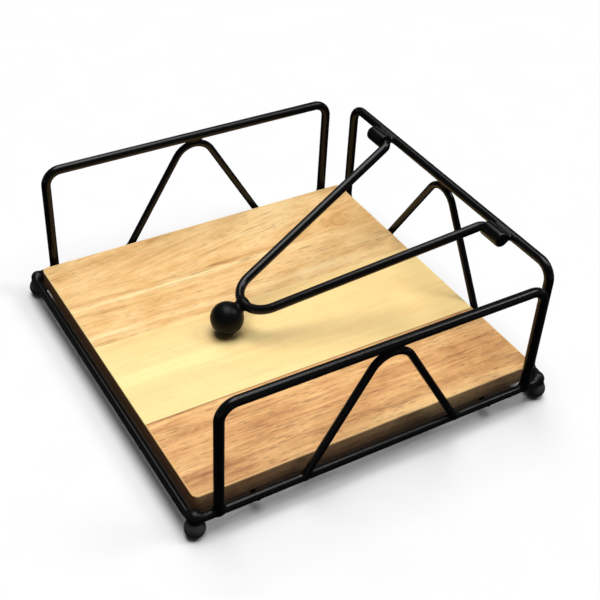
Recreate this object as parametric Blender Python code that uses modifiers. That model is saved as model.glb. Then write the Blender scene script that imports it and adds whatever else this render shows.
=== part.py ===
"""Flat napkin holder: an open wire frame, a wooden board and a hinged arm with a ball weight.

Units are metres, +Z is up, -Y is the open front. The origin is on the ground, under the middle.
"""
import bmesh
import bpy
from math import acos, asin, atan2, cos, pi, radians, sin, tan
from mathutils import Matrix, Vector

MM = 0.001
GAP = 0.3 * MM                     # room left between pieces that are welded or screwed together

# Driving dimensions --------------------------------------------------------------------------
BOARD_WIDTH = 180.0 * MM           # along X, across the grain
BOARD_DEPTH = 184.0 * MM           # along Y, with the grain
BOARD_THICKNESS = 9.5 * MM
BOARD_CORNER = 3.0 * MM            # corner radius in plan
BOARD_EASE = 0.8 * MM              # rounding of the top and bottom edges
GLUE_LINES = (-18.3 * MM, 40.8 * MM)   # X of the two joints between the three staves
GLUE_GAP = 0.1 * MM

RAIL_WIRE = 2.4 * MM               # radii of the wires
BRACE_WIRE = 1.9 * MM
RING_WIRE = 2.0 * MM
CROSS_WIRE = 1.5 * MM

SIDE_PLANE = 95.2 * MM             # X of the side rails and of the ring's sides
BACK_PLANE = 95.4 * MM             # Y of the back rail and of the ring's front and back
RAIL_RISE = 53.4 * MM              # rail's centre line above the board's top
SIDE_RAIL_HALF = 83.0 * MM
BACK_RAIL_HALF = 84.6 * MM
RAIL_BEND = 8.0 * MM
RING_BEND = 7.0 * MM

SIDE_BRACE_FOOT = 40.7 * MM        # half the stance at the ring
BACK_BRACE_FOOT = 41.6 * MM
SIDE_BRACE_BEND = 12.0 * MM
BACK_BRACE_BEND = 11.0 * MM

FOOT_BALL = 4.8 * MM
FOOT_FLAT_CUT = 0.3 * MM           # height sliced off the ball to make its resting face
FOOT_NECK = 3.0 * MM
FOOT_NECK_TOP = 6.0 * MM           # above the ball's centre, inside the ring's outline
FOOT_PLACE = 93.4 * MM             # X and Y of the feet
RING_ABOVE_FOOT = 6.4 * MM         # ring's centre line above the ball's centre

SLEEVE_OUTER = 4.0 * MM
SLEEVE_BORE = 2.7 * MM
SLEEVE_MOUTH = 44.0 * MM           # X of the open end
SLEEVE_END = 57.0 * MM             # X of the closed end
SLEEVE_WALL = 2.0 * MM             # thickness of the closed end
SLEEVE_ROUND = 1.6 * MM

ARM_WIRE = 2.4 * MM
ARM_CORNER_X = 41.6 * MM           # where a limb's line meets the hinge axis
ARM_REACH = 115.8 * MM             # hinge axis to the middle of the wire at the tip
ARM_TIP_BEND = 13.6 * MM
ARM_END_BEND = 4.4 * MM
ARM_END_X = 54.0 * MM
ARM_TILT = radians(19.47)          # slope of the arm at rest

WEIGHT_BALL = 8.4 * MM
WEIGHT_Y = -29.4 * MM
WEIGHT_NECK = 2.6 * MM
WEIGHT_NECK_SHORT = 0.9 * MM       # how far the neck stays short of the arm wire's middle

CROSS_WIRE_Y = 63.0 * MM
CROSS_WIRE_HALF = 93.6 * MM

LUG_THICKNESS = 1.2 * MM
LUG_HALF_WIDTH = 5.0 * MM
LUG_REACH = 7.5 * MM               # cross wire's middle to the screw's axis
SCREW_X = 60.0 * MM
SCREW_HOLE = 1.7 * MM
SCREW_CORE = 1.05 * MM
SCREW_THREAD = 1.4 * MM
SCREW_HEAD = 3.2 * MM
SCREW_HEAD_HEIGHT = 2.2 * MM
SCREW_IN_BOARD = 5.0 * MM
SCREW_PITCH = 1.1 * MM
RECESS_REACH = 1.5 * MM            # half length of each slot of the cross recess
RECESS_HALF_WIDTH = 0.35 * MM
RECESS_DEPTH = 0.6 * MM
PILOT_DEPTH = 5.5 * MM

# Levels --------------------------------------------------------------------------------------
FOOT_Z = FOOT_BALL - FOOT_FLAT_CUT
RING_Z = FOOT_Z + RING_ABOVE_FOOT
BOARD_BOTTOM = RING_Z - 2.0 * MM
BOARD_TOP = BOARD_BOTTOM + BOARD_THICKNESS
RAIL_Z = BOARD_TOP + RAIL_RISE
CROSS_Z = BOARD_BOTTOM - GAP - CROSS_WIRE
LUG_TOP = BOARD_BOTTOM - GAP
HINGE_Y = BACK_PLANE - RAIL_WIRE - SLEEVE_OUTER - GAP
HINGE_Z = RAIL_Z
WEIGHT_Z = BOARD_TOP + GAP + WEIGHT_BALL

WIRE_SIDES = 16
POST_END = RING_Z + 1.0 * MM       # posts straddle the top of the ring
LEG_END = RING_Z + 0.4 * MM

COATING = ("black_coating", (0.012, 0.012, 0.013), 0.35, 0.42)
WOODS = {
    "left": ("wood_tan", (0.62, 0.38, 0.17), 0.0, 0.55),
    "middle": ("wood_pale", (0.78, 0.58, 0.29), 0.0, 0.55),
    "right": ("wood_brown", (0.55, 0.30, 0.13), 0.0, 0.55),
}
SCREW_STEEL = ("zinc_plate", (0.55, 0.55, 0.53), 1.0, 0.35)


# Helpers -------------------------------------------------------------------------------------
def clear_scene():
    for item in list(bpy.data.objects):
        bpy.data.objects.remove(item, do_unlink=True)


def new_collection(name):
    collection = bpy.data.collections.new(name)
    bpy.context.scene.collection.children.link(collection)
    return collection


def material(look):
    name, colour, metallic, roughness = look
    found = bpy.data.materials.get(name)
    if found:
        return found
    made = bpy.data.materials.new(name)
    made.use_nodes = True
    shader = made.node_tree.nodes["Principled BSDF"]
    shader.inputs["Base Color"].default_value = (*colour, 1.0)
    shader.inputs["Metallic"].default_value = metallic
    shader.inputs["Roughness"].default_value = roughness
    made.diffuse_color = (*colour, 1.0)
    return made


def add_object(name, data, look=None):
    """Link data as a part, or as a cutter when it has no look."""
    item = bpy.data.objects.new(name, data)
    if look:
        PARTS.objects.link(item)
        data.materials.append(material(look))
    else:
        CUTTERS.objects.link(item)
        item.hide_render = True
        item.display_type = "WIRE"
    return item


def rounded_path(corners, bends, steps=8, closed=False):
    """A polyline through the corners, each turned with an arc of its bend radius."""
    corners = [Vector(corner) for corner in corners]
    last = len(corners) - 1
    points = []
    for index, corner in enumerate(corners):
        if not closed and index in (0, last):
            points.append(corner)
            continue
        before = (corners[index - 1] - corner).normalized()
        after = (corners[(index + 1) % len(corners)] - corner).normalized()
        half = acos(before.dot(after)) / 2
        radius = bends[index]
        centre = corner + (before + after).normalized() * (radius / sin(half))
        first = corner + before * (radius / tan(half)) - centre
        turn = pi - 2 * half
        axis = before.cross(after) * -1
        for step in range(steps + 1):
            points.append(centre + Matrix.Rotation(turn * step / steps, 3, axis) @ first)
    return points


def wire_curve(name, points, radius, look=None, closed=False):
    curve = bpy.data.curves.new(name, "CURVE")
    curve.dimensions = "3D"
    curve.bevel_depth = radius
    curve.bevel_resolution = WIRE_SIDES // 2 - 2
    curve.use_fill_caps = not closed
    spline = curve.splines.new("POLY")
    spline.points.add(len(points) - 1)
    for spot, point in zip(spline.points, points):
        spot.co = (*point, 1.0)
    spline.use_cyclic_u = closed
    spline.use_smooth = True
    return add_object(name, curve, look)


def to_mesh(item):
    """Swap a curve object for a mesh object of the same name, with its caps welded."""
    depsgraph = bpy.context.evaluated_depsgraph_get()
    name, matrix, home = item.name, item.matrix_world.copy(), item.users_collection[0]
    mesh = bpy.data.meshes.new_from_object(item.evaluated_get(depsgraph))
    shape = bmesh.new()
    shape.from_mesh(mesh)
    bmesh.ops.remove_doubles(shape, verts=shape.verts, dist=0.00001)
    shape.to_mesh(mesh)
    shape.free()
    bpy.data.objects.remove(item, do_unlink=True)
    solid = bpy.data.objects.new(name, mesh)
    home.objects.link(solid)
    solid.matrix_world = matrix
    if home is CUTTERS:
        solid.hide_render = True
        solid.display_type = "WIRE"
    shade_round(solid)
    return solid


def shade_round(item, limit=40):
    item.data.shade_smooth()
    item.data.set_sharp_from_angle(angle=radians(limit))


def boolean(item, cutter, operation="DIFFERENCE"):
    step = item.modifiers.new(operation.title(), "BOOLEAN")
    step.operation = operation
    step.solver = "EXACT"
    step.object = cutter
    return step


def box(name, low, high, look=None):
    size = Vector(high) - Vector(low)
    mesh = bpy.data.meshes.new(name)
    shape = bmesh.new()
    bmesh.ops.create_cube(shape, size=1.0, matrix=Matrix.Diagonal((*size, 1.0)))
    shape.to_mesh(mesh)
    shape.free()
    item = add_object(name, mesh, look)
    item.location = (Vector(high) + Vector(low)) / 2
    return item


def turned(name, profile, steps, look=None):
    """Turn a profile of (radius, height) pairs, given from the top down its outer side."""
    mesh = bpy.data.meshes.new(name)
    shape = bmesh.new()
    spots = [shape.verts.new((radius, 0.0, height)) for radius, height in profile]
    for start, end in zip(spots, spots[1:]):
        shape.edges.new((start, end))
    shape.to_mesh(mesh)
    shape.free()
    item = add_object(name, mesh, look)
    screw = item.modifiers.new("Turn", "SCREW")
    screw.axis = "Z"
    screw.steps = steps
    screw.render_steps = steps
    screw.use_merge_vertices = True
    screw.merge_threshold = 0.00001
    screw.use_smooth_shade = True
    return item


def arc_profile(centre, radius, start, end, steps):
    """Points on an arc about a centre, as pairs; angles in radians from the first axis."""
    angles = [start + (end - start) * step / steps for step in range(steps + 1)]
    return [(centre[0] + radius * cos(angle), centre[1] + radius * sin(angle)) for angle in angles]


# Wooden board --------------------------------------------------------------------------------
def rise(edge):
    return abs(edge.verts[0].co.z - edge.verts[1].co.z)


def board_blank(name, look):
    """The whole board before it is parted at the glue lines."""
    low = (-BOARD_WIDTH / 2, -BOARD_DEPTH / 2, BOARD_BOTTOM)
    high = (BOARD_WIDTH / 2, BOARD_DEPTH / 2, BOARD_TOP)
    blank = box(name, low, high, look)
    shape = bmesh.new()
    shape.from_mesh(blank.data)
    upright = [edge for edge in shape.edges if rise(edge) > BOARD_THICKNESS / 2]
    bmesh.ops.bevel(shape, geom=upright, offset=BOARD_CORNER, segments=4, profile=0.5, affect="EDGES")
    rim = [edge for edge in shape.edges if rise(edge) < BOARD_THICKNESS / 2]
    bmesh.ops.bevel(shape, geom=rim, offset=BOARD_EASE, segments=3, profile=0.5, affect="EDGES")
    shape.to_mesh(blank.data)
    shape.free()
    return blank


def board():
    beyond = BOARD_WIDTH
    edges = (-beyond, *GLUE_LINES, beyond)
    for index, side in enumerate(("left", "middle", "right")):
        stave = board_blank(f"board_stave_{side}", WOODS[side])
        low = (edges[index] + GLUE_GAP / 2, -beyond, -beyond)
        high = (edges[index + 1] - GLUE_GAP / 2, beyond, beyond)
        boolean(stave, box(f"stave_band_{side}", low, high), "INTERSECT")
        for x, y, place in SCREW_PLACES:
            if edges[index] < x < edges[index + 1]:
                boolean(stave, pilot_hole(f"pilot_{place}", x, y))
        shade_round(stave, 30)


def pilot_hole(name, x, y):
    height = PILOT_DEPTH + GAP
    hole = turned(name, [(0, height), (SCREW_HOLE, height), (SCREW_HOLE, 0), (0, 0)], 12)
    hole.location = (x, y, BOARD_BOTTOM - GAP)
    return hole


# Wire frame ----------------------------------------------------------------------------------
def ring_path():
    corners = [
        (-SIDE_PLANE, -BACK_PLANE, RING_Z),
        (SIDE_PLANE, -BACK_PLANE, RING_Z),
        (SIDE_PLANE, BACK_PLANE, RING_Z),
        (-SIDE_PLANE, BACK_PLANE, RING_Z),
    ]
    return rounded_path(corners, [RING_BEND] * 4, steps=6, closed=True)


def ring():
    to_mesh(wire_curve("base_ring", ring_path(), RING_WIRE, COATING, closed=True))
    return to_mesh(wire_curve("ring_clearance", ring_path(), RING_WIRE + GAP, closed=True))


def panel_point(panel, across, height):
    """A point in one of the three upright wire panels; across runs along the panel."""
    if panel == "back":
        return (across, BACK_PLANE, height)
    return (SIDE_PLANE * (1 if panel == "right" else -1), across, height)


def rail(panel, half, ring_clearance):
    outline = [(-half, POST_END), (-half, RAIL_Z), (half, RAIL_Z), (half, POST_END)]
    corners = [panel_point(panel, across, height) for across, height in outline]
    path = rounded_path(corners, [0, RAIL_BEND, RAIL_BEND, 0])
    boolean(to_mesh(wire_curve(f"rail_{panel}", path, RAIL_WIRE, COATING)), ring_clearance)


def brace(panel, foot, bend, ring_clearance):
    """An upside-down V with a rounded apex that just reaches the underside of the rail."""
    crown = RAIL_Z - RAIL_WIRE - GAP - BRACE_WIRE
    # The legs' sharp meeting point lies above the crown of the arc by bend * (1 / sin(half) - 1).
    half = atan2(foot, crown - LEG_END)
    for _ in range(20):
        peak = crown + bend * (1 / sin(half) - 1)
        half = atan2(foot, peak - LEG_END)
    outline = [(-foot, LEG_END), (0, peak), (foot, LEG_END)]
    corners = [panel_point(panel, across, height) for across, height in outline]
    path = rounded_path(corners, [0, bend, 0], steps=10)
    boolean(to_mesh(wire_curve(f"brace_{panel}", path, BRACE_WIRE, COATING)), ring_clearance)


def cross_wires(ring_clearance):
    for side, y in (("front", -CROSS_WIRE_Y), ("back", CROSS_WIRE_Y)):
        path = [Vector((x, y, CROSS_Z)) for x in (-CROSS_WIRE_HALF, CROSS_WIRE_HALF)]
        boolean(to_mesh(wire_curve(f"cross_wire_{side}", path, CROSS_WIRE, COATING)), ring_clearance)


def feet(ring_clearance):
    shoulder = acos(FOOT_NECK / FOOT_BALL)
    flat = -asin(FOOT_Z / FOOT_BALL)
    profile = [(0, FOOT_NECK_TOP), (FOOT_NECK, FOOT_NECK_TOP)]
    profile += arc_profile((0, 0), FOOT_BALL, shoulder, flat, 9)
    profile += [(0, -FOOT_Z)]
    for name, x, y in CORNERS:
        foot = turned(f"foot_{name}", profile, 20, COATING)
        foot.location = (x * FOOT_PLACE, y * FOOT_PLACE, FOOT_Z)
        boolean(foot, ring_clearance)


# Hinge and arm -------------------------------------------------------------------------------
def sleeves():
    length = SLEEVE_END - SLEEVE_MOUTH
    chamfer = 0.3 * MM
    profile = [(0, length)]
    round_centre = (SLEEVE_OUTER - SLEEVE_ROUND, length - SLEEVE_ROUND)
    profile += arc_profile(round_centre, SLEEVE_ROUND, pi / 2, 0, 4)
    profile += [(SLEEVE_OUTER, chamfer), (SLEEVE_OUTER - chamfer, 0), (SLEEVE_BORE, 0)]
    profile += [(SLEEVE_BORE, length - SLEEVE_WALL), (0, length - SLEEVE_WALL)]
    for side, sign in (("left", -1), ("right", 1)):
        sleeve = turned(f"hinge_sleeve_{side}", profile, 24, COATING)
        sleeve.location = (sign * SLEEVE_MOUTH, HINGE_Y, HINGE_Z)
        sleeve.rotation_euler = (0, sign * pi / 2, 0)


def arm_path():
    """The arm's centre line in its own flat plane, hinge axis along X, tip towards -Y."""
    # Sharp meeting point of the limbs, found so that the rounded tip ends at ARM_REACH.
    half = atan2(ARM_CORNER_X, ARM_REACH)
    for _ in range(20):
        peak = ARM_REACH + ARM_TIP_BEND * (1 / sin(half) - 1)
        half = atan2(ARM_CORNER_X, peak)
    outline = [
        (-ARM_END_X, 0, 0),
        (-ARM_CORNER_X, 0, 0),
        (0, -peak, 0),
        (ARM_CORNER_X, 0, 0),
        (ARM_END_X, 0, 0),
    ]
    return rounded_path(outline, [0, ARM_END_BEND, ARM_TIP_BEND, ARM_END_BEND, 0], steps=10)


def swing_arm():
    """The arm and its ball, children of an empty on the hinge axis that holds the slope at rest."""
    pivot = bpy.data.objects.new("arm_pivot", None)
    PARTS.objects.link(pivot)
    pivot.location = (0, HINGE_Y, HINGE_Z)
    pivot.rotation_euler = (ARM_TILT, 0, 0)

    arm = to_mesh(wire_curve("swing_arm", arm_path(), ARM_WIRE, COATING))
    clearance = to_mesh(wire_curve("arm_clearance", arm_path(), ARM_WIRE + GAP))
    arm.parent = pivot
    clearance.parent = pivot
    from_hinge = Vector((0, WEIGHT_Y - HINGE_Y, WEIGHT_Z - HINGE_Z))
    centre = Matrix.Rotation(-ARM_TILT, 3, "X") @ from_hinge
    weight_ball(pivot, centre, clearance)


def weight_ball(pivot, centre, clearance):
    """A ball with a short neck towards the arm's tip, saddled onto its wire."""
    reach = Vector((0, -ARM_REACH, 0)) - centre
    turn = Vector((0, 0, 1)).rotation_difference(reach)
    mesh = bpy.data.meshes.new("arm_weight")
    shape = bmesh.new()
    poles = turn.to_matrix().to_4x4()
    bmesh.ops.create_uvsphere(shape, u_segments=32, v_segments=18, radius=WEIGHT_BALL, matrix=poles)
    shape.to_mesh(mesh)
    shape.free()
    ball = add_object("arm_weight", mesh, COATING)

    neck_top = reach.length - WEIGHT_NECK_SHORT
    neck = turned("weight_neck", [(0, neck_top), (WEIGHT_NECK, neck_top), (WEIGHT_NECK, 0), (0, 0)], 20)
    neck.rotation_mode = "QUATERNION"
    neck.rotation_quaternion = turn
    for piece in (ball, neck):
        piece.parent = pivot
        piece.location = centre
    boolean(ball, neck, "UNION")
    boolean(ball, clearance)
    shade_round(ball, 35)


# Fixings under the board ---------------------------------------------------------------------
def lug(name, x, y, wire_y):
    """A flat tongue from the cross wire to the screw, round at the screw's end."""
    toward = 1 if y > wire_y else -1
    root = wire_y + toward * (CROSS_WIRE + GAP) - y
    curve = bpy.data.curves.new(name, "CURVE")
    curve.dimensions = "2D"
    curve.fill_mode = "BOTH"
    curve.extrude = LUG_THICKNESS / 2
    start = 0 if toward > 0 else pi
    outline = arc_profile((0, 0), LUG_HALF_WIDTH, start, start + pi, 10)
    outline += [(outline[-1][0], root), (outline[0][0], root)]
    hole = arc_profile((0, 0), SCREW_HOLE, 0, 2 * pi, 14)[:-1]
    for loop in (outline, hole):
        spline = curve.splines.new("POLY")
        spline.points.add(len(loop) - 1)
        for spot, (across, along) in zip(spline.points, loop):
            spot.co = (across, along, 0.0, 1.0)
        spline.use_cyclic_u = True
    item = add_object(name, curve, COATING)
    item.location = (x, y, LUG_TOP - LUG_THICKNESS / 2)
    bpy.context.view_layer.update()
    to_mesh(item)


def board_screw(name, x, y):
    """A pan-head wood screw seen from its tip down: point, thread rings, then the head."""
    seat = LUG_TOP - LUG_THICKNESS - GAP
    tip = BOARD_BOTTOM + SCREW_IN_BOARD - seat
    thread_start = BOARD_BOTTOM - seat
    rings = int((tip - thread_start) / SCREW_PITCH - 1)
    profile = [(0, tip)]
    for index in range(rings):
        crest = tip - SCREW_PITCH * (index + 1)
        profile += [(SCREW_CORE, crest + SCREW_PITCH / 2), (SCREW_THREAD, crest)]
    profile += [(SCREW_CORE, thread_start), (SCREW_CORE, 0), (SCREW_HEAD, 0)]
    for step in range(5):
        angle = pi / 2 * step / 5
        profile.append((SCREW_HEAD * cos(angle), -SCREW_HEAD_HEIGHT * (0.35 + 0.65 * sin(angle))))
    profile.append((0, -SCREW_HEAD_HEIGHT))
    screw = turned(name, profile, 16, SCREW_STEEL)
    screw.location = (x, y, seat)
    for turn in range(2):
        half = Vector((RECESS_REACH, RECESS_HALF_WIDTH, RECESS_DEPTH))
        slot = box(f"{name}_recess_{turn}", -half, half)
        slot.location = (x, y, seat - SCREW_HEAD_HEIGHT)
        slot.rotation_euler = (0, 0, turn * pi / 2 + pi / 4)
        boolean(screw, slot)


def fixings():
    for x, y, place in SCREW_PLACES:
        wire_y = CROSS_WIRE_Y if y > 0 else -CROSS_WIRE_Y
        lug(f"fixing_lug_{place}", x, y, wire_y)
        board_screw(f"board_screw_{place}", x, y)


# Assembly ------------------------------------------------------------------------------------
CORNERS = [
    (f"{end}_{side}", x, y)
    for end, y in (("front", -1), ("back", 1))
    for side, x in (("left", -1), ("right", 1))
]
SCREW_PLACES = [(x * SCREW_X, y * (CROSS_WIRE_Y - LUG_REACH), name) for name, x, y in CORNERS]

clear_scene()
PARTS = new_collection("napkin_holder")
CUTTERS = new_collection("cutters")

board()
ring_cutter = ring()
for panel_name in ("left", "right"):
    rail(panel_name, SIDE_RAIL_HALF, ring_cutter)
    brace(panel_name, SIDE_BRACE_FOOT, SIDE_BRACE_BEND, ring_cutter)
rail("back", BACK_RAIL_HALF, ring_cutter)
brace("back", BACK_BRACE_FOOT, BACK_BRACE_BEND, ring_cutter)
cross_wires(ring_cutter)
feet(ring_cutter)
sleeves()
swing_arm()
fixings()
bpy.context.view_layer.update()
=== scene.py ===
"""Looks of the napkin holder: wooden board, black coated wire frame and a weighted swing arm.

Lengths are metres, +Z is up and -Y is the open front, as in the CAD frame.
"""
from itertools import product
from math import acos, atan2, cos, pi, radians, sin, tan

import bmesh
import bpy
import numpy as np
from mathutils import Matrix, Vector


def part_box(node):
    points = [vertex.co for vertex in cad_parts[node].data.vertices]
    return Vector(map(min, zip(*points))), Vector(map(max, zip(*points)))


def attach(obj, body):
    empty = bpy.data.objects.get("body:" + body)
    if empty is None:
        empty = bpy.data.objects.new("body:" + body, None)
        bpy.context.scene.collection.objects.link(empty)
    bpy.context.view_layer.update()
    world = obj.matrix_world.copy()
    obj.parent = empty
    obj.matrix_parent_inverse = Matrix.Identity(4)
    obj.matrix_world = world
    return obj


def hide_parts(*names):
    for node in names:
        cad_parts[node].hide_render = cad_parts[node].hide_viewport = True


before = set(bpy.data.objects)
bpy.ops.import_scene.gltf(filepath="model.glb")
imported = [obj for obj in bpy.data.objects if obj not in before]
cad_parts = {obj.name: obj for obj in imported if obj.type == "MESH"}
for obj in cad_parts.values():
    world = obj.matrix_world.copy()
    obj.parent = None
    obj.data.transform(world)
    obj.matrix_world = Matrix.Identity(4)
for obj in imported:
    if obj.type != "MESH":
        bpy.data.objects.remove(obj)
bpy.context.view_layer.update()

MM = 0.001

# Places and sizes read from the frame --------------------------------------------------------
RING_LOW, RING_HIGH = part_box("base_ring")
RING_WIRE = (RING_HIGH.z - RING_LOW.z) / 2
RING_Z = (RING_HIGH.z + RING_LOW.z) / 2
SIDE_PLANE = RING_HIGH.x - RING_WIRE
BACK_PLANE = RING_HIGH.y - RING_WIRE

RAIL_LOW, RAIL_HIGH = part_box("rail_right")
RAIL_WIRE = (RAIL_HIGH.x - RAIL_LOW.x) / 2
RAIL_Z = RAIL_HIGH.z - RAIL_WIRE
RAIL_HALF = {
    "left": RAIL_HIGH.y - RAIL_WIRE,
    "right": RAIL_HIGH.y - RAIL_WIRE,
    "back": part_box("rail_back")[1].x - RAIL_WIRE,
}
BOARD_LOW, BOARD_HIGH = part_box("board_stave_left")
BOARD_TOP = BOARD_HIGH.z
GLUE_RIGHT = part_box("board_stave_right")[0].x

SLEEVE_LOW, SLEEVE_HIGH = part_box("hinge_sleeve_right")
SLEEVE_OUTER = (SLEEVE_HIGH.z - SLEEVE_LOW.z) / 2
HINGE_Y = (SLEEVE_HIGH.y + SLEEVE_LOW.y) / 2
HINGE_Z = (SLEEVE_HIGH.z + SLEEVE_LOW.z) / 2

CROSS_LOW, CROSS_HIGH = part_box("cross_wire_back")
CROSS_WIRE = (CROSS_HIGH.y - CROSS_LOW.y) / 2
CROSS_Y = (CROSS_HIGH.y + CROSS_LOW.y) / 2
CROSS_Z = CROSS_LOW.z + CROSS_WIRE

# Shapes that a box doesn't tell --------------------------------------------------------------
RING_BEND = 7.0 * MM
RAIL_BEND = 8.0 * MM
BRACE_WIRE = 1.9 * MM
BRACE_FOOT = {"left": 40.7 * MM, "right": 40.7 * MM, "back": 41.6 * MM}
BRACE_BEND = {"left": 12.0 * MM, "right": 12.0 * MM, "back": 11.0 * MM}
WELD_GAP = 0.3 * MM                # what the CAD leaves open at most welds
WELD_SWELL = 0.06 * MM             # how far a weld stands proud of the blended shapes
WELD_SINK = 0.35 * MM              # how deep its rim dips under them
WELD_FILLET = 1.5 * MM
WELD_GRID = 0.35 * MM
FOOT_BALL = 4.8 * MM
FOOT_Z = 4.5 * MM
FOOT_PLACE = 93.4 * MM
FOOT_NECK = 3.3 * MM
FOOT_FILLET = 1.6 * MM
FOOT_RIM = (4.6 * MM, 7.0 * MM)    # from the foot's axis, where its skin fades into the ring
FOOT_REACH = 7.2 * MM
FOOT_GRID_LOW = Vector((8, 8, 5.5)) * MM     # room for the foot's skin, below and above its centre
FOOT_GRID_HIGH = Vector((8, 8, 10.5)) * MM
SLEEVE_BORE = 2.7 * MM
SLEEVE_WALL = 2.0 * MM
SLEEVE_RIM = 0.45 * MM
SLEEVE_SHOULDER = 1.6 * MM
ARM_WIRE = 2.4 * MM
ARM_CORNER_X = 41.6 * MM
ARM_REACH = 115.8 * MM
ARM_TIP_BEND = 13.6 * MM
ARM_END_BEND = 4.4 * MM
ARM_END_X = 54.0 * MM
ARM_TILT = radians(19.47)
ARM_STEPS = 18                     # steps of each bend of the arm
WEIGHT_BALL = 8.4 * MM
WEIGHT_Y = -29.4 * MM
WEIGHT_NECK = 2.6 * MM
WEIGHT_FILLET = 1.8 * MM
WEIGHT_RIM = (3.6 * MM, 6.4 * MM)  # from the arm's tip, where the skin fades into the wire
WEIGHT_REACH = 6.6 * MM

WIRE_SIDES = 28
SETTLE_ROUNDS = 20
FINE_GRID = 0.4 * MM               # grid step of the ball and the feet


# Material helpers ----------------------------------------------------------------------------
def srgb(red, green, blue):
    """A colour given in 0-255 display values, as the linear colour that a shader takes."""
    parts = (channel / 255 for channel in (red, green, blue))
    linear = [part / 12.92 if part <= 0.04045 else ((part + 0.055) / 1.055) ** 2.4 for part in parts]
    return (*linear, 1.0)


class Shader:
    """A material's node tree, with short makers for the nodes used below."""

    def __init__(self, name):
        self.material = bpy.data.materials.new(name)
        self.material.use_nodes = True
        self.tree = self.material.node_tree
        self.surface = self.tree.nodes["Principled BSDF"]

    def feed(self, socket, value):
        if isinstance(value, bpy.types.NodeSocket):
            self.tree.links.new(value, socket)
        else:
            socket.default_value = value

    def node(self, kind, inputs=(), **settings):
        made = self.tree.nodes.new("ShaderNode" + kind)
        for key, value in settings.items():
            setattr(made, key, value)
        for key, value in dict(inputs).items():
            self.feed(made.inputs[key], value)
        return made

    def math(self, operation, *values, clamp=False):
        return self.node("Math", enumerate(values), operation=operation, use_clamp=clamp).outputs[0]

    def plus(self, *values):
        total = values[0]
        for value in values[1:]:
            total = self.math("ADD", total, value)
        return total

    def times(self, *values):
        total = values[0]
        for value in values[1:]:
            total = self.math("MULTIPLY", total, value)
        return total

    def swing(self, value, amount):
        """value, which lies about 0.5, as a push of up to half of amount either way."""
        return self.times(self.math("SUBTRACT", value, 0.5), amount)

    def smooth(self, value, start, end):
        """0 at start and 1 at end, with soft shoulders; start may be above end."""
        inputs = {"Value": value, "From Min": start, "From Max": end}
        return self.node("MapRange", inputs, interpolation_type="SMOOTHSTEP").outputs[0]

    def mix(self, factor, first, second):
        return self.node("Mix", {0: factor, 6: first, 7: second}, data_type="RGBA").outputs[2]

    def ramp(self, value, *colours):
        """Even steps from the first colour at 0 to the last at 1."""
        made = self.node("ValToRGB", {0: value})
        stops = made.color_ramp.elements
        while len(stops) < len(colours):
            stops.new(0.5)
        for index, colour in enumerate(colours):
            stops[index].position = index / (len(colours) - 1)
            stops[index].color = colour
        return made.outputs[0]

    def place(self):
        """X, Y and Z of the surface point in millimetres."""
        scaled = self.node("VectorMath", {0: self.coordinates().outputs["Object"], "Scale": 1000.0},
                           operation="SCALE")
        return list(self.node("SeparateXYZ", {0: scaled.outputs[0]}).outputs)

    def coordinates(self):
        return self.tree.nodes.get("Texture Coordinate") or self.node("TexCoord")

    def noise(self, point, size, detail=2.0, roughness=0.5):
        """Soft noise about 0.5. size is its grain in mm along X, Y and Z, or one number for all."""
        sizes = size if isinstance(size, tuple) else (size,) * 3
        vector = self.stretched(point, sizes)
        inputs = {"Vector": vector, "Scale": 1.0, "Detail": detail, "Roughness": roughness}
        return self.node("TexNoise", inputs).outputs[0]

    def stretched(self, point, sizes):
        shrunk = [self.math("DIVIDE", value, size) for value, size in zip(point, sizes)]
        return self.node("CombineXYZ", enumerate(shrunk)).outputs[0]

    def dashes(self, point, sizes, radius, share):
        """Short strokes, 1 in their middle, in about share of the cells; radius is in cell sizes."""
        cells = self.node("TexVoronoi", {"Vector": self.stretched(point, sizes), "Scale": 1.0})
        chance = self.node("SeparateColor", {0: cells.outputs["Color"]}).outputs[0]
        chosen = self.smooth(chance, share + 0.05, share - 0.05)
        return self.times(self.smooth(cells.outputs["Distance"], radius, radius * 0.35), chosen)

    def bump(self, height, depth, strength=1.0):
        made = self.node("Bump", {"Height": height, "Distance": depth, "Strength": strength})
        self.feed(self.surface.inputs["Normal"], made.outputs[0])

    def finish(self, colour, roughness, metallic=0.0):
        self.feed(self.surface.inputs["Base Color"], colour)
        self.feed(self.surface.inputs["Roughness"], roughness)
        self.surface.inputs["Metallic"].default_value = metallic
        return self.material


# Wood ----------------------------------------------------------------------------------------
# Noises of the wood: grain size in mm across, along and down, then detail and roughness
WANDER = ((60.0, 110.0, 60.0), 2.0, 0.5)
RIPPLE = ((9.0, 26.0, 9.0), 2.0, 0.5)
BANDS = ((11.0, 300.0, 40.0), 3.0, 0.55)
STREAKS = ((2.0, 42.0, 5.0), 3.0, 0.6)
FIBRES = ((0.55, 13.0, 0.9), 4.0, 0.6)
CLOUDS = ((9.0, 17.0, 12.0), 3.0, 0.6)
FLECK_LINES = ((0.75, 15.0, 1.2), 1.0, 0.5)
FLECK_AREAS = ((7.0, 60.0, 20.0), 2.0, 0.5)
END_RINGS = ((1.6, 9.0, 3.0), 3.0, 0.5)
# Strokes of the wood: cell size in mm across, along and down, then radius in cells
PITS = ((1.3, 7.5, 1.3), 0.42)
SPECKS = ((0.8, 3.2, 0.8), 0.40)

FLECK = (0.80, 0.84, 0.86)         # a fleck's red, green and blue, as parts of the deepest tone
PIT_TONE = 0.62                    # a pore's tone, as a part of the deepest tone
SIDE_SHADE = (0.62, 0.45)           # painted shade on the board's side faces: their brightness at the foot, and what the top adds
ARRIS_HIGHLIGHT_TONE = 1.05                  # a painted highlight on the top arris, partly sanded wear: its tone, as a part of the palest tone
LACQUER_ROUGHNESS = 0.46
LACQUER_SHINE = 0.35
WOOD_RELIEF = 0.12 * MM


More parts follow.
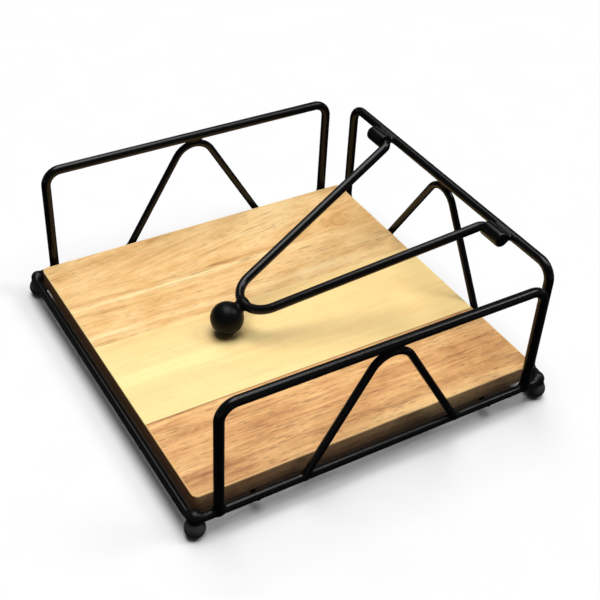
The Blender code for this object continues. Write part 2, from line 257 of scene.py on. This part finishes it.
def line_mask(s, across, y, spot):
    """1 on a line along the grain; spot is (X, half width, Y where it fades in, Y where it is full)."""
    middle, half_width, fade, full = spot
    off = s.math("ABSOLUTE", s.math("SUBTRACT", across, middle))
    return s.times(s.smooth(off, half_width, half_width * 0.2), s.smooth(y, fade, full))


def patch_mask(s, x, y, middle_x, middle_y, half_width, half_length):
    """1 in the middle of a soft oval area."""
    off_x = s.math("DIVIDE", s.math("SUBTRACT", x, middle_x), half_width)
    off_y = s.math("DIVIDE", s.math("SUBTRACT", y, middle_y), half_length)
    off = s.math("SQRT", s.plus(s.times(off_x, off_x), s.times(off_y, off_y)))
    return s.smooth(off, 1.0, 0.0)


def wood(name, tones, figure, flecks, pores, lean=None, marks=(), dashed=(), patches=()):
    """Rubberwood cut along Y under a thin satin lacquer.

    tones run from pale to deep. figure says how far the growth bands, streaks, fibres and clouds
    move the tone. flecks and pores are (share, strength) of the dark lines and the short pits.
    lean is (slope, X where it is full, X where it ends). marks are (push of the tone, line), dashed
    are lines thick with flecks, and patches are (push, X, Y, half width, half length).
    """
    s = Shader(name)
    x, y, z = s.place()
    wander = s.swing(s.noise((x, y, z), *WANDER), 9.0)
    ripple = s.swing(s.noise((x, y, z), *RIPPLE), 1.6)
    across = s.plus(x, wander, ripple, s.times(z, 0.6))
    if lean:
        slope, full, end = lean
        across = s.plus(across, s.times(y, slope, s.smooth(x, end, full)))
    grain = (across, y, z)
    near_line = s.plus(x, s.times(wander, 0.35), ripple)

    bands = s.noise(grain, *BANDS)
    streaks = s.noise(grain, *STREAKS)
    fibres = s.noise(grain, *FIBRES)
    clouds = s.noise((x, y, z), *CLOUDS)
    layers = zip((bands, streaks, fibres, clouds), figure)
    tone = s.plus(0.5, *(s.swing(layer, amount) for layer, amount in layers))
    for push, spot in marks:
        tone = s.plus(tone, s.times(line_mask(s, near_line, y, spot), push))
    for push, *spot in patches:
        tone = s.plus(tone, s.times(patch_mask(s, near_line, y, *spot), push))
    colour = s.ramp(tone, *(srgb(*shade) for shade in tones))

    share, strength = flecks
    lines = s.noise(grain, *FLECK_LINES)
    cluster = s.smooth(s.noise(grain, *FLECK_AREAS), 0.72 - share, 0.86 - share)
    for spot in dashed:
        cluster = s.math("MAXIMUM", cluster, line_mask(s, near_line, y, spot))
    flecked = s.times(s.smooth(lines, 0.54, 0.66), cluster, strength)
    fleck = srgb(*(channel * part for channel, part in zip(tones[-1], FLECK)))
    colour = s.mix(flecked, colour, fleck)

    share, strength = pores
    pits = s.dashes(grain, *PITS, share)
    specks = s.dashes(grain, *SPECKS, share * 0.8)
    pits = s.math("MAXIMUM", pits, s.times(specks, 0.7))
    deep = srgb(*(PIT_TONE * channel for channel in tones[-1]))
    colour = s.mix(s.times(pits, strength), colour, deep)

    off_glue = s.math("ABSOLUTE", s.math("SUBTRACT", x, GLUE_RIGHT / MM))
    colour = s.mix(s.times(s.smooth(off_glue, 0.7, 0.1), 0.5), colour, deep)

    facing = s.node("SeparateXYZ", {0: s.coordinates().outputs["Normal"]}).outputs
    upright = s.math("ABSOLUTE", facing[2])
    end_grain = s.smooth(s.math("ABSOLUTE", facing[1]), 0.4, 0.8)
    # Painted shade: the side faces are dimmed and greyed, and darkest at their foot.
    side_shade_foot, side_shade_rise = SIDE_SHADE
    painted_side_shade = s.plus(side_shade_foot, s.times(s.smooth(z, BOARD_LOW.z / MM, BOARD_TOP / MM), side_shade_rise))
    side = s.node("HueSaturation", {"Value": painted_side_shade, "Saturation": 0.88, "Color": colour}).outputs[0]
    rings = s.noise((s.plus(x, s.times(z, z, 0.03)), y, z), *END_RINGS)
    ends = s.ramp(s.plus(0.5, s.swing(rings, 1.2), s.swing(fibres, 0.5)), *END_GRAIN_SHADED_TONES)
    side = s.mix(end_grain, side, ends)
    # Painted highlight: a pale line along the rounded top arris where it catches the light, partly
    # sanded wear.
    arris_highlight = s.times(s.smooth(upright, 0.999, 0.93), s.smooth(upright, 0.3, 0.7))
    pale = srgb(*(min(255, ARRIS_HIGHLIGHT_TONE * channel) for channel in tones[0]))
    top = s.mix(s.times(arris_highlight, 0.8), colour, pale)
    colour = s.mix(s.smooth(upright, 0.75, 0.25), top, side)

    height = s.plus(s.times(fibres, 0.3), s.times(streaks, 0.35), s.times(pits, -0.8))
    s.bump(height, WOOD_RELIEF, 0.6)
    s.surface.inputs["Specular IOR Level"].default_value = LACQUER_SHINE
    roughness = s.plus(LACQUER_ROUGHNESS, s.swing(streaks, 0.12), s.times(pits, 0.2))
    return s.finish(colour, roughness)


# End-grain tones: the wood's darker end grain, deepened further as painted shade.
END_GRAIN_SHADED_TONES = [srgb(176, 128, 88), srgb(158, 110, 74), srgb(132, 88, 58)]
WOODS = {
    "left": dict(
        tones=((253, 223, 163), (246, 205, 143), (229, 180, 113), (196, 140, 82)),
        figure=(0.30, 0.80, 0.50, 0.85), flecks=(0.22, 0.50), pores=(0.35, 0.28),
        lean=(0.16, -66.0, -50.0),
        marks=((-0.34, (-48.5, 2.4, 60.0, 10.0)), (-0.22, (-25.0, 2.6, 100.0, 60.0)),
               (0.16, (-52.5, 1.2, 90.0, 20.0))),
        dashed=((-52.0, 2.6, 95.0, 45.0),),
        patches=((0.10, -84.0, -55.0, 22.0, 60.0), (0.14, -57.0, 85.0, 16.0, 40.0),
                 (-0.20, -75.0, 35.0, 22.0, 50.0), (-0.22, -86.0, 50.0, 12.0, 40.0),
                 (-0.12, -43.0, 50.0, 9.0, 60.0), (-0.12, -24.0, 55.0, 7.0, 40.0)),
    ),
    "middle": dict(
        tones=((255, 237, 168), (253, 225, 156), (248, 212, 144), (230, 188, 124)),
        figure=(0.35, 0.55, 0.25, 0.40), flecks=(0.05, 0.20), pores=(0.12, 0.12),
        marks=((-0.30, (11.0, 7.0, 10.0, -60.0)),),
        patches=((0.24, -17.0, 20.0, 13.0, 160.0), (0.10, 20.0, 70.0, 30.0, 80.0),
                 (0.16, -14.0, -70.0, 16.0, 50.0)),
    ),
    "right": dict(
        tones=((246, 200, 135), (230, 177, 115), (208, 151, 93), (168, 110, 62)),
        figure=(0.75, 1.05, 0.60, 1.05), flecks=(0.26, 0.42), pores=(0.45, 0.42),
        marks=((-0.25, (43.5, 2.0, -120.0, -100.0)), (0.30, (42.0, 0.9, -40.0, -70.0))),
        patches=((0.16, 68.0, 74.0, 14.0, 34.0), (0.16, 87.0, -80.0, 16.0, 26.0),
                 # The -0.50 patch at X 88 is painted light: a paler strip laid over the right rail's
                 # shadow.
                 (-0.08, 48.0, 10.0, 9.0, 120.0), (-0.50, 88.0, 45.0, 9.0, 90.0),
                 (0.22, 66.0, -15.0, 9.0, 120.0)),
    ),
}


# Metal ---------------------------------------------------------------------------------------
# Noises of the coat: size in mm and detail
COAT_CLOUD = (9.0, 3.0)
COAT_PEEL = (0.9, 2.0)
COAT_GRIT = (0.24, 1.0)
COAT_THIN = (2.6, 2.0)
COAT_DARK = 0.0020
COAT_LIGHT = 0.0055
COAT_RELIEF = 0.08 * MM
FOOT_COAT_Z = (9.6, 8.4)           # heights in mm between which the ring's coat turns into the feet's


def coating(name, smoothest, shine, foot=None):
    """Black powder coating: soft orange peel, a little cloudy, thinner in small spots.

    smoothest is its lowest roughness and shine its specular level. Below the ring, foot is the
    greyer tone of the ball feet: partly their own matte coat, partly painted light standing in
    for light bounced up from below.
    """
    s = Shader(name)
    point = s.place()
    dark, light = COAT_DARK, COAT_LIGHT
    cloud = s.noise(point, *COAT_CLOUD)
    peel = s.noise(point, *COAT_PEEL)
    grit = s.noise(point, *COAT_GRIT)
    thin = s.smooth(s.noise(point, *COAT_THIN), 0.64, 0.76)
    colour = s.ramp(cloud, (dark, dark, dark * 1.05, 1.0), (light, light, light * 1.05, 1.0))
    colour = s.mix(s.times(thin, 0.5), colour, (light * 2, light * 2, light * 1.9, 1.0))
    if foot:
        deep, pale = foot * 0.8, foot * 1.2
        foot_grey_and_bounce = s.ramp(cloud, (deep, deep, deep, 1.0), (pale, pale, pale, 1.0))
        # Partly painted light: the feet's grey coat is lifted to stand in for light bounced up from
        # below.
        colour = s.mix(s.smooth(point[2], *FOOT_COAT_Z), colour, foot_grey_and_bounce)
    s.bump(s.plus(s.times(peel, 0.75), s.times(grit, 0.25)), COAT_RELIEF, 0.8)
    s.surface.inputs["Specular IOR Level"].default_value = shine
    roughness = s.plus(smoothest, s.times(cloud, 0.12), s.times(thin, 0.10))
    return s.finish(colour, roughness)


def zinc():
    """Zinc-plated steel with faint turning marks and a dull film."""
    s = Shader("screw_steel")
    point = s.place()
    film = s.noise(point, 1.4, 3.0)
    marks = s.noise(point, (0.5, 0.5, 0.05), 2.0)
    colour = s.ramp(film, (0.42, 0.42, 0.40, 1.0), (0.68, 0.67, 0.62, 1.0))
    s.bump(marks, 0.03 * MM, 0.4)
    return s.finish(colour, s.plus(0.26, s.times(film, 0.22)), 1.0)


COATING = coating("black_coating", 0.14, 0.22)
BALL_COATING = coating("black_ball", 0.28, 0.09)
FOOT_COATING = coating("black_foot", 0.30, 0.20, foot=0.065)
ZINC = zinc()


def dress(node_name, look):
    """Give a CAD node that stays visible a better material."""
    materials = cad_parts[node_name].data.materials
    materials.clear()
    materials.append(look)


def dress_board():
    for side, look in WOODS.items():
        dress(f"board_stave_{side}", wood(f"wood_{side}", **look))


def dress_fixings():
    for node_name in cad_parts:
        if node_name.startswith("board_screw"):
            dress(node_name, ZINC)
        elif node_name.startswith("fixing_lug"):
            dress(node_name, COATING)


# Mesh helpers --------------------------------------------------------------------------------
def piece(name, mesh, body, node=None, look=COATING):
    """Link a mesh as a piece that rides on body and, if named, stands for a CAD node."""
    made = bpy.data.objects.new(name, mesh)
    bpy.context.scene.collection.objects.link(made)
    mesh.materials.clear()
    mesh.materials.append(look)
    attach(made, body)
    if node:
        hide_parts(node)
    return made


def rounded_path(corners, bends, steps=14, closed=False):
    """A polyline through the corners, each turned with an arc of its bend radius."""
    corners = [Vector(corner) for corner in corners]
    last = len(corners) - 1
    points = []
    for index, corner in enumerate(corners):
        if not closed and index in (0, last):
            points.append(corner)
            continue
        before = (corners[index - 1] - corner).normalized()
        after = (corners[(index + 1) % len(corners)] - corner).normalized()
        half = acos(before.dot(after)) / 2
        centre = corner + (before + after).normalized() * (bends[index] / sin(half))
        first = corner + before * (bends[index] / tan(half)) - centre
        axis = before.cross(after) * -1
        for step in range(steps + 1):
            turn = (pi - 2 * half) * step / steps
            points.append(centre + Matrix.Rotation(turn, 3, axis) @ first)
    return points


def wire_mesh(name, points, radius, closed=False):
    """A round wire along the points, as one closed mesh."""
    curve = bpy.data.curves.new(name, "CURVE")
    curve.dimensions = "3D"
    curve.bevel_depth = radius
    curve.bevel_resolution = WIRE_SIDES // 2 - 2
    curve.use_fill_caps = not closed
    spline = curve.splines.new("POLY")
    spline.points.add(len(points) - 1)
    for spot, point in zip(spline.points, points):
        spot.co = (*point, 1.0)
    spline.use_cyclic_u = closed
    holder = bpy.data.objects.new(name, curve)
    bpy.context.scene.collection.objects.link(holder)
    depsgraph = bpy.context.evaluated_depsgraph_get()
    mesh = bpy.data.meshes.new_from_object(holder.evaluated_get(depsgraph))
    bpy.data.objects.remove(holder, do_unlink=True)
    shape = bmesh.new()
    shape.from_mesh(mesh)
    bmesh.ops.remove_doubles(shape, verts=shape.verts, dist=0.005 * MM)
    shape.to_mesh(mesh)
    shape.free()
    mesh.shade_smooth()
    mesh.set_sharp_from_angle(angle=radians(40))
    return mesh


# Solid fields: each gives the distance to a shape's surface, below 0 inside ------------------
def along(points, radius):
    """A round wire along a polyline."""
    starts = np.array([tuple(point) for point in points[:-1]])
    ends = np.array([tuple(point) for point in points[1:]])

    def field(place):
        best = np.full(place.shape[:-1], 1.0)
        for start, end in zip(starts, ends):
            run = end - start
            share = np.clip((place - start) @ run / (run @ run), 0, 1)
            best = np.minimum(best, np.linalg.norm(place - start - share[..., None] * run, axis=-1))
        return best - radius
    return field


def ball(centre, radius):
    middle = np.array(tuple(centre))
    return lambda place: np.linalg.norm(place - middle, axis=-1) - radius


def drum(start, end, radius, rounding):
    """A cylinder from start to end with rounded rims."""
    first, last = np.array(tuple(start)), np.array(tuple(end))
    length = np.linalg.norm(last - first)
    axis = (last - first) / length

    def field(place):
        height = (place - first) @ axis
        out = np.linalg.norm(place - first - height[..., None] * axis, axis=-1) - radius + rounding
        beyond = np.abs(height - length / 2) - length / 2 + rounding
        inner = np.minimum(np.maximum(out, beyond), 0)
        return inner + np.hypot(np.maximum(out, 0), np.maximum(beyond, 0)) - rounding
    return field


def without(field, hole):
    return lambda place: np.maximum(field(place), -hole(place))


def melted(fields, fillet):
    """The shapes run together, with a concave fillet about as wide as fillet."""
    def field(place):
        total = fields[0](place)
        for other in fields[1:]:
            value = other(place)
            share = np.clip(0.5 + 0.5 * (total - value) / fillet, 0, 1)
            total = total + (value - total) * share - fillet * share * (1 - share)
        return total
    return field


UNIT_STEPS = np.eye(3, dtype=int)
NO_STEP = np.zeros(3, dtype=int)
TIGHTEN_ROUNDS = 5


def surface_mesh(name, field, low, high, step):
    """The closed surface where the field is 0: a net over the grid's cells, drawn tight onto it."""
    low = np.array(tuple(low))
    counts = np.ceil((np.array(tuple(high)) - low) / step).astype(int) + 1
    axes = [low[k] + step * np.arange(counts[k]) for k in range(3)]
    inside = field(np.stack(np.meshgrid(*axes, indexing="ij"), -1)) < 0
    corners = np.stack([
        inside[i:counts[0] - 1 + i, j:counts[1] - 1 + j, k:counts[2] - 1 + k]
        for i, j, k in product((0, 1), repeat=3)
    ])
    mixed = corners.any(0) & ~corners.all(0)
    number = np.full(mixed.shape, -1)
    number[mixed] = np.arange(mixed.sum())
    points = low + (np.argwhere(mixed) + 0.5) * step

    faces = []
    for axis in range(3):
        first = np.take(inside, range(counts[axis] - 1), axis)
        second = np.take(inside, range(1, counts[axis]), axis)
        across = UNIT_STEPS[(axis + 1) % 3]
        upward = UNIT_STEPS[(axis + 2) % 3]
        edges = np.argwhere(first != second)
        leaving = first[tuple(edges.T)]
        shifts = (across + upward, upward, NO_STEP, across)
        ring = [number[tuple((edges - shift).T)] for shift in shifts]
        quads = np.stack(ring, 1)
        quads[~leaving] = quads[~leaving][:, ::-1]
        faces.append(quads)
    for _ in range(TIGHTEN_ROUNDS):
        value = field(points)
        nudges = np.eye(3) * step * 0.05
        slope = np.stack([field(points + nudge) - field(points - nudge) for nudge in nudges], -1)
        slope = slope / (step * 0.1)
        steep = np.maximum((slope ** 2).sum(-1), 0.2)
        points = points - np.clip(value / steep, -step, step)[:, None] * slope

    mesh = bpy.data.meshes.new(name)
    mesh.from_pydata(points.tolist(), [], np.concatenate(faces).tolist())
    mesh.validate()
    mesh.shade_smooth()
    return mesh


def ease(value, start, end):
    """0 at start and 1 at end, with soft shoulders."""
    share = np.clip((value - start) / (end - start), 0, 1)
    return share * share * (3 - 2 * share)


LUMP_WAVES = 5


def lumps(place):
    """Low waves from -1 to 1, about two millimetres long, as on a coated weld."""
    waves = 0
    for turn in range(LUMP_WAVES):
        direction = np.array([sin(2.4 * turn), cos(1.7 * turn), sin(3.1 * turn + 1)]) * 2.3 / MM
        waves = waves + np.sin(place @ direction + 1.3 * turn)
    return waves / LUMP_WAVES


def weld(name, body, fields, spine, reach, fillet=WELD_FILLET):
    """A weld where shapes meet along the spine: their blended skin, which dips under them at reach."""
    start, end = (Vector(point) for point in spine)
    # A hair longer than the spine, because its two ends may be one point
    gap = along([start, end + Vector((0, 0, 1e-6))], 0.0)
    skin = melted(fields, fillet)

    def field(place):
        away = gap(place) / reach
        fade = ease(away, 0.55, 1.0)
        swell = WELD_SWELL * (1 - fade) * (1 + lumps(place))
        return np.maximum(skin(place) - swell + WELD_SINK * fade, (away - 1) * reach)
    margin = Vector((reach, reach, reach)) * 1.1
    low = Vector(map(min, start, end)) - margin
    high = Vector(map(max, start, end)) + margin
    piece(name, surface_mesh(name, field, low, high, WELD_GRID), body)


# Wire frame ----------------------------------------------------------------------------------
def panel_point(panel, across, height):
    """A point in one of the three upright wire panels; across runs along the panel."""
    if panel == "back":
        return (across, BACK_PLANE, height)
    return (SIDE_PLANE * (1 if panel == "right" else -1), across, height)


def ring_path():
    corners = [
        (-SIDE_PLANE, -BACK_PLANE, RING_Z),
        (SIDE_PLANE, -BACK_PLANE, RING_Z),
        (SIDE_PLANE, BACK_PLANE, RING_Z),
        (-SIDE_PLANE, BACK_PLANE, RING_Z),
    ]
    return rounded_path(corners, [RING_BEND] * 4, closed=True)


def rail_path(panel):
    half = RAIL_HALF[panel]
    outline = [(-half, RING_Z), (-half, RAIL_Z), (half, RAIL_Z), (half, RING_Z)]
    corners = [panel_point(panel, across, height) for across, height in outline]
    return rounded_path(corners, [0, RAIL_BEND, RAIL_BEND, 0])


def brace_path(panel):
    """An upside-down V whose rounded crown ends a weld gap under the rail."""
    foot, bend = BRACE_FOOT[panel], BRACE_BEND[panel]
    crown = RAIL_Z - RAIL_WIRE - WELD_GAP - BRACE_WIRE
    half = atan2(foot, crown - RING_Z)
    # The sharp peak and the slope of the legs depend on each other
    for _ in range(SETTLE_ROUNDS):
        peak = crown + bend * (1 / sin(half) - 1)
        half = atan2(foot, peak - RING_Z)
    outline = [(-foot, RING_Z), (0, peak), (foot, RING_Z)]
    corners = [panel_point(panel, across, height) for across, height in outline]
    return rounded_path(corners, [0, bend, 0], steps=20)


def wire_frame():
    ring = ring_path()
    ring_field = along([*ring, ring[0]], RING_WIRE)
    piece("ring_wire", wire_mesh("ring_wire", ring, RING_WIRE, closed=True), "frame", "base_ring")
    for panel in ("left", "right", "back"):
        rail, brace = rail_path(panel), brace_path(panel)
        piece(f"rail_wire_{panel}", wire_mesh("rail", rail, RAIL_WIRE), "frame", f"rail_{panel}")
        piece(f"brace_wire_{panel}", wire_mesh("brace", brace, BRACE_WIRE), "frame", f"brace_{panel}")
        rail_field, brace_field = along(rail, RAIL_WIRE), along(brace, BRACE_WIRE)
        for side, sign in (("a", -1), ("b", 1)):
            post = panel_point(panel, sign * RAIL_HALF[panel], RING_Z + RING_WIRE)
            weld(f"weld_post_{panel}_{side}", "frame", [ring_field, rail_field], (post, post), 5.2 * MM)
            leg = panel_point(panel, sign * BRACE_FOOT[panel], RING_Z + RING_WIRE)
            weld(f"weld_leg_{panel}_{side}", "frame", [ring_field, brace_field], (leg, leg), 4.6 * MM)
        touch = RAIL_Z - RAIL_WIRE - WELD_GAP / 2
        ends = [panel_point(panel, half_run, touch) for half_run in (-2.5 * MM, 2.5 * MM)]
        weld(f"weld_crown_{panel}", "frame", [rail_field, brace_field], ends, 4.4 * MM, 1.8 * MM)
    return ring_field


def foot_field(centre, ring_field):
    """A ball flat where it rests, and run into the ring above it."""
    neck = along([centre, centre + Vector((0, 0, RING_Z - FOOT_Z))], FOOT_NECK)
    skin = melted([ball(centre, FOOT_BALL), neck, ring_field], FOOT_FILLET)
    middle = np.array(tuple(centre))[:2]

    def field(place):
        away = np.linalg.norm(place[..., :2] - middle, axis=-1)
        fade = ease(away, *FOOT_RIM)
        swell = (0.05 * MM + 0.35 * MM * fade) * ease(place[..., 2], 6.5 * MM, 8.5 * MM)
        shape = skin(place) + 2 * swell * (fade - 0.25)
        return np.maximum(np.maximum(shape, -place[..., 2]), away - FOOT_REACH)
    return field


def feet(ring_field):
    for end, y in (("front", -1), ("back", 1)):
        for side, x in (("left", -1), ("right", 1)):
            centre = Vector((x * FOOT_PLACE, y * FOOT_PLACE, FOOT_Z))
            field = foot_field(centre, ring_field)
            name = f"foot_{end}_{side}"
            mesh = surface_mesh(name, field, centre - FOOT_GRID_LOW, centre + FOOT_GRID_HIGH, FINE_GRID)
            piece(f"{name}_ball", mesh, "frame", name, FOOT_COATING)


def cross_wires(ring_field):
    for end, y in (("front", -CROSS_Y), ("back", CROSS_Y)):
        path = [Vector((x, y, CROSS_Z)) for x in (CROSS_LOW.x, CROSS_HIGH.x)]
        name = f"cross_wire_{end}"
        piece(f"{name}_rod", wire_mesh(name, path, CROSS_WIRE), "frame", name)
        fields = [ring_field, along(path, CROSS_WIRE)]
        for side, x in (("left", CROSS_LOW.x), ("right", CROSS_HIGH.x)):
            touch = Vector((x, y, RING_LOW.z))
            weld(f"weld_{name}_{side}", "frame", fields, (touch, touch), 3.4 * MM, 2.0 * MM)


# Hinge and arm -------------------------------------------------------------------------------
def turned_mesh(name, profile, sides):
    """Turn (radius, height) pairs about Z; the profile starts and ends on the axis."""
    shape = bmesh.new()
    spots = [shape.verts.new((radius, 0.0, height)) for radius, height in profile]
    edges = [shape.edges.new(pair) for pair in zip(spots, spots[1:])]
    bmesh.ops.spin(shape, geom=spots + edges, cent=(0, 0, 0), axis=(0, 0, 1), angle=2 * pi, steps=sides,
                   use_merge=True)
    bmesh.ops.remove_doubles(shape, verts=shape.verts, dist=0.002 * MM)
    bmesh.ops.recalc_face_normals(shape, faces=shape.faces)
    mesh = bpy.data.meshes.new(name)
    shape.to_mesh(mesh)
    shape.free()
    mesh.shade_smooth()
    mesh.set_sharp_from_angle(angle=radians(35))
    return mesh


def arc(centre, radius, start, end, steps):
    angles = [start + (end - start) * step / steps for step in range(steps + 1)]
    return [(centre[0] + radius * cos(angle), centre[1] + radius * sin(angle)) for angle in angles]


def sleeves():
    """Two short tubes beside the back rail: a rounded closed end, a thin rolled mouth, a plain bore."""
    mouth, far = SLEEVE_LOW.x, SLEEVE_HIGH.x
    length = far - mouth
    rim, shoulder = SLEEVE_RIM, SLEEVE_SHOULDER
    profile = [(0, length)]
    profile += arc((SLEEVE_OUTER - shoulder, length - shoulder), shoulder, pi / 2, 0, 8)
    profile += arc((SLEEVE_OUTER - rim, rim), rim, 0, -pi / 2, 5)
    profile += arc((SLEEVE_BORE + rim / 2, rim / 2), rim / 2, -pi / 2, -pi, 4)
    profile += [(SLEEVE_BORE, length - SLEEVE_WALL), (0, length - SLEEVE_WALL)]
    rail_field = along(rail_path("back"), RAIL_WIRE)
    for side, sign in (("left", -1), ("right", 1)):
        mesh = turned_mesh("sleeve", profile, 48)
        turn = Matrix.Rotation(sign * pi / 2, 4, "Y")
        mesh.transform(Matrix.Translation((sign * mouth, HINGE_Y, HINGE_Z)) @ turn)
        piece(f"sleeve_tube_{side}", mesh, "frame", f"hinge_sleeve_{side}")
        start = Vector((sign * mouth, HINGE_Y, HINGE_Z))
        end = Vector((sign * far, HINGE_Y, HINGE_Z))
        bore = along([start, end], SLEEVE_BORE + 0.1 * MM)
        tube = without(drum(start, end, SLEEVE_OUTER, shoulder), bore)
        touch_y = (HINGE_Y + SLEEVE_OUTER + BACK_PLANE - RAIL_WIRE) / 2
        weld_ends = (sign * (mouth + 1.0 * MM), sign * (far + 0.5 * MM))
        spine = [(x, touch_y, HINGE_Z) for x in weld_ends]
        weld(f"weld_sleeve_{side}", "frame", [rail_field, tube], spine, 4.2 * MM, 2.2 * MM)


def arm_path():
    """The arm's centre line, its hinge axis along X and its tip towards -Y, tilted to rest."""
    half = atan2(ARM_CORNER_X, ARM_REACH)
    # The sharp tip and the slope of the limbs depend on each other
    for _ in range(SETTLE_ROUNDS):
        peak = ARM_REACH + ARM_TIP_BEND * (1 / sin(half) - 1)
        half = atan2(ARM_CORNER_X, peak)
    outline = [
        (-ARM_END_X, 0, 0),
        (-ARM_CORNER_X, 0, 0),
        (0, -peak, 0),
        (ARM_CORNER_X, 0, 0),
        (ARM_END_X, 0, 0),
    ]
    bends = [0, ARM_END_BEND, ARM_TIP_BEND, ARM_END_BEND, 0]
    path = rounded_path(outline, bends, steps=ARM_STEPS)
    place = Matrix.Translation((0, HINGE_Y, HINGE_Z)) @ Matrix.Rotation(ARM_TILT, 4, "X")
    return [place @ point for point in path]


def weight_field(centre, tip, path):
    """The ball with its neck, run into the wire at the arm's tip."""
    half_bend = ARM_STEPS // 2 + 1
    limbs = along(path[half_bend:-half_bend], ARM_WIRE)
    neck = along([centre, tip], WEIGHT_NECK)
    skin = melted([ball(centre, WEIGHT_BALL), neck, limbs], WEIGHT_FILLET)
    middle, tip_place = np.array(tuple(centre)), np.array(tuple(tip))

    def field(place):
        away = np.linalg.norm(place - tip_place, axis=-1)
        fade = ease(away, *WEIGHT_RIM)
        off_ball = np.linalg.norm(place - middle, axis=-1) - WEIGHT_BALL
        beyond = ease(off_ball, 0.3 * MM, 1.4 * MM)
        shape = skin(place) + beyond * (0.40 * MM * fade - 0.06 * MM * (1 - fade))
        return np.maximum(shape, np.minimum(away - WEIGHT_REACH, off_ball - 0.2 * MM))
    return field


def swing_arm():
    path = arm_path()
    piece("arm_wire", wire_mesh("arm_wire", path, ARM_WIRE), "arm", "swing_arm")
    tip = min(path, key=lambda point: point.y)
    centre = Vector((0, WEIGHT_Y, BOARD_TOP + WELD_GAP + WEIGHT_BALL))
    low = centre - Vector((10, 10, 10)) * MM
    high = Vector((10 * MM, tip.y + 8 * MM, tip.z + 8 * MM))
    mesh = surface_mesh("arm_ball", weight_field(centre, tip, path), low, high, FINE_GRID)
    piece("arm_ball", mesh, "arm", "arm_weight", BALL_COATING)


# Scene ---------------------------------------------------------------------------------------
FLOOR_RADIUS = 25.0
# Brightness of the surroundings by height, which is 0 below, 0.5 at the horizon and 1 overhead
TENT = ((0.48, 0.03), (0.49, 0.95), (0.51, 0.95), (0.525, 0.04), (0.955, 0.04), (0.99, 1.0))
# Lamps: name, direction to the lamp, strength and width in degrees
LAMPS = (
    ("lamp_front", (-0.10, 0.10, 0.99), 2.45, 44.0),
    ("lamp_left", (-0.58, 0.15, 0.80), 0.34, 26.0),
    ("lamp_back", (0.222, 0.630, 0.747), 0.75, 19.0),
)

VIEW_AZIMUTH = radians(57.47)
VIEW_ELEVATION = radians(38.48)
VIEW_ROLL = radians(3.35)
VIEW_DISTANCE = 586 * MM
VIEW_TARGET = Vector((-5.1 * MM, 15.6 * MM, BOARD_TOP))
LENS_MM = 68.3
SENSOR_MM = 36.0


def stage():
    """A wide pale floor. It takes the shadows but throws no light back up at the object."""
    bpy.ops.mesh.primitive_circle_add(vertices=96, radius=FLOOR_RADIUS, fill_type="TRIFAN")
    floor = bpy.context.object
    floor.name = "floor"
    floor.visible_diffuse = False
    floor.visible_glossy = False
    s = Shader("floor_paper")
    point = s.place()
    tone = s.ramp(s.noise(point, 40.0, 3.0), (0.83, 0.83, 0.83, 1.0), (0.87, 0.87, 0.87, 1.0))
    floor.data.materials.append(s.finish(tone, 0.9))


def soft_lamp(name, direction, strength, spread):
    """A round studio light, far off in the direction and spread degrees across."""
    light = bpy.data.lights.new(name, "SUN")
    light.energy = strength
    light.angle = radians(spread)
    lamp = bpy.data.objects.new(name, light)
    bpy.context.scene.collection.objects.link(lamp)
    lamp.rotation_euler = Vector(direction).to_track_quat("Z", "Y").to_euler()


def lights():
    """Soft lamps, a bright patch overhead, dim sides and a thin white horizon."""
    world = bpy.data.worlds.new("studio")
    bpy.context.scene.world = world
    world.use_nodes = True
    tree = world.node_tree
    direction = tree.nodes.new("ShaderNodeTexCoord").outputs["Generated"]
    height = tree.nodes.new("ShaderNodeSeparateXYZ")
    tree.links.new(direction, height.inputs[0])
    share = tree.nodes.new("ShaderNodeMapRange")
    share.inputs["From Min"].default_value = -1.0
    tree.links.new(height.outputs[2], share.inputs["Value"])
    tent = tree.nodes.new("ShaderNodeValToRGB")
    tree.links.new(share.outputs[0], tent.inputs[0])
    stops = tent.color_ramp.elements
    while len(stops) < len(TENT):
        stops.new(0.5)
    for stop, (position, level) in zip(stops, TENT):
        stop.position = position
        stop.color = (level, level, level, 1.0)
    background = tree.nodes["Background"]
    tree.links.new(tent.outputs[0], background.inputs["Color"])
    background.inputs["Strength"].default_value = 1.0
    for lamp in LAMPS:
        soft_lamp(*lamp)
    bpy.context.scene.view_settings.view_transform = "Standard"


def camera():
    """The photographed view: from the right of the front, looking down, slightly rolled."""
    level = cos(VIEW_ELEVATION)
    back = Vector((sin(VIEW_AZIMUTH) * level, -cos(VIEW_AZIMUTH) * level, sin(VIEW_ELEVATION)))
    lens = bpy.data.cameras.new("camera")
    lens.lens = LENS_MM
    lens.sensor_width = SENSOR_MM
    lens.clip_start = 0.01
    lens.clip_end = 20.0
    eye = bpy.data.objects.new("camera", lens)
    bpy.context.scene.collection.objects.link(eye)
    across = Vector((0, 0, 1)).cross(back).normalized()
    upward = back.cross(across)
    turn = Matrix((across, upward, back)).transposed() @ Matrix.Rotation(VIEW_ROLL, 3, "Z")
    eye.matrix_world = Matrix.Translation(VIEW_TARGET + back * VIEW_DISTANCE) @ turn.to_4x4()
    bpy.context.scene.camera = eye


dress_board()
RING_FIELD = wire_frame()
feet(RING_FIELD)
cross_wires(RING_FIELD)
sleeves()
swing_arm()
dress_fixings()
stage()
lights()
camera()
